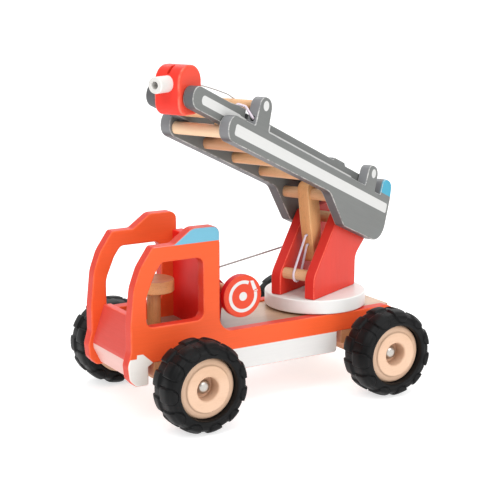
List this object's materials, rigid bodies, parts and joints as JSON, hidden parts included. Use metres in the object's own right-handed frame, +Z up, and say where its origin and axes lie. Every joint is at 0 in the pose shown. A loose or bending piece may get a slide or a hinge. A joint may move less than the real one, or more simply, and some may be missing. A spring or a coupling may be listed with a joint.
{
  "type": "toy fire engine",
  "caption": "Wooden toy fire engine with an open cab, chunky rubber tyres, a hose reel and a turntable tower carrying a sliding ladder with a tilting nozzle.",
  "frame": {"origin": "on the ground plane under the tyres, on the truck's centre plane, midway between the two axles", "axes": "+X towards the truck's front, +Y to its left side, +Z up"},
  "size_m": [0.2481, 0.1714, 0.2423],
  "materials": {
    "orange_paint": "satin paint on wood",
    "red_paint": "satin paint on wood",
    "white_paint": "satin paint on wood",
    "grey_paint": "satin paint on wood",
    "beech": "clear satin varnish",
    "deck_wood": "clear satin varnish",
    "rubber_tyre": "matte moulded rubber",
    "steel": "bright steel",
    "washer_fibre": "matte",
    "grey_cord": "twisted cord",
    "elastic_cord": "braided elastic"
  },
  "bodies": {
    "chassis": {"side_panel_left": "orange_paint", "side_panel_right": "orange_paint", "front_board": "orange_paint", "cab_back_board": "red_paint", "deck_board": "deck_wood", "front_axle_beam": "beech", "rear_axle_beam": "beech", "chassis_screws": "steel", "front_axle_rod": "steel", "rear_axle_rod": "steel", "axle_caps": "steel", "axle_washers": "washer_fibre", "reel_stand": "red_paint", "turntable_washer": "washer_fibre", "turntable_bolt": "steel", "winch_cord": "grey_cord"},
    "steering": {"steering_column": "beech", "steering_wheel": "beech"},
    "reel": {"reel_axle": "beech", "reel_disc": "orange_paint", "winch_drum": "beech", "cord_wraps": "grey_cord"},
    "turret": {"turntable_disc": "white_paint", "tower_pins": "beech", "tower_board_left": "red_paint", "tower_board_right": "red_paint", "tower_dowel_front": "beech", "tower_dowel_rear": "beech", "elastic_loop": "elastic_cord"},
    "base_ladder": {"base_ladder_board_left": "grey_paint", "base_ladder_board_right": "grey_paint", "base_ladder_rungs": "beech", "ladder_pivot_dowel": "beech", "prop_dowel": "beech", "guide_dowel_front": "beech"},
    "fly_ladder": {"fly_ladder_board_left": "grey_paint", "fly_ladder_board_right": "grey_paint", "fly_ladder_rungs": "beech", "nozzle_pivot_dowel": "beech", "nozzle_cord": "grey_cord", "fly_elastic": "elastic_cord"},
    "nozzle": {"nozzle_block": "red_paint", "nozzle_tube": "white_paint"},
    "prop": {"prop_strut": "beech"},
    "wheel_front_left": {"hub_front_left": "beech", "tyre_front_left": "rubber_tyre"},
    "wheel_front_right": {"hub_front_right": "beech", "tyre_front_right": "rubber_tyre"},
    "wheel_rear_left": {"hub_rear_left": "beech", "tyre_rear_left": "rubber_tyre"},
    "wheel_rear_right": {"hub_rear_right": "beech", "tyre_rear_right": "rubber_tyre"}
  },
  "joints": [
    {"name": "wheel_spin_front_left", "type": "hinge", "parent": "chassis", "child": "wheel_front_left", "pos_m": [0.0761, 0.0646, 0.0312], "axis": [0, 1, 0], "continuous": true},
    {"name": "wheel_spin_front_right", "type": "hinge", "parent": "chassis", "child": "wheel_front_right", "pos_m": [0.0761, -0.0646, 0.0312], "axis": [0, 1, 0], "continuous": true},
    {"name": "wheel_spin_rear_left", "type": "hinge", "parent": "chassis", "child": "wheel_rear_left", "pos_m": [-0.0761, 0.0646, 0.0312], "axis": [0, 1, 0], "continuous": true},
    {"name": "wheel_spin_rear_right", "type": "hinge", "parent": "chassis", "child": "wheel_rear_right", "pos_m": [-0.0761, -0.0646, 0.0312], "axis": [0, 1, 0], "continuous": true},
    {"name": "steering_turn", "type": "hinge", "parent": "chassis", "child": "steering", "pos_m": [0.0761, 0, 0.0509], "axis": [0, 0, 1], "continuous": true},
    {"name": "turret_turn", "type": "hinge", "parent": "chassis", "child": "turret", "pos_m": [-0.0577, 0, 0.0556], "axis": [0, 0, 1], "continuous": true, "deforming": ["winch_cord"]},
    {"name": "ladder_luff", "type": "hinge", "parent": "turret", "child": "base_ladder", "pos_m": [-0.09203, -0.0163, 0.1124], "axis": [0.4289, -0.9033, 0], "range_deg": [-15, 36], "deforming": ["winch_cord", "elastic_loop"]},
    {"name": "reel_turn", "type": "hinge", "parent": "chassis", "child": "reel", "pos_m": [0.0233, 0.0055, 0.0772], "axis": [0, 1, 0], "range_deg": [-35, 82], "deforming": ["winch_cord"]},
    {"name": "fly_slide", "type": "slide", "parent": "base_ladder", "child": "fly_ladder", "axis": [0.8376, 0.3977, 0.3746], "range_m": [0, 0.108], "deforming": ["nozzle_cord", "fly_elastic"]},
    {"name": "nozzle_tilt", "type": "hinge", "parent": "fly_ladder", "child": "nozzle", "pos_m": [0.09651, 0.07322, 0.22261], "axis": [0.4289, -0.9033, 0], "range_deg": [-30, 40], "deforming": ["nozzle_cord"]},
    {"name": "prop_swing", "type": "hinge", "parent": "base_ladder", "child": "prop", "pos_m": [-0.04714, 0.00502, 0.13863], "axis": [0.4289, -0.9033, 0], "range_deg": [-20, 14], "deforming": ["elastic_loop"]}
  ],
  "couplings": [
    {"joint": "reel_turn", "follows": "ladder_luff", "ratio": 2.2}
  ]
}
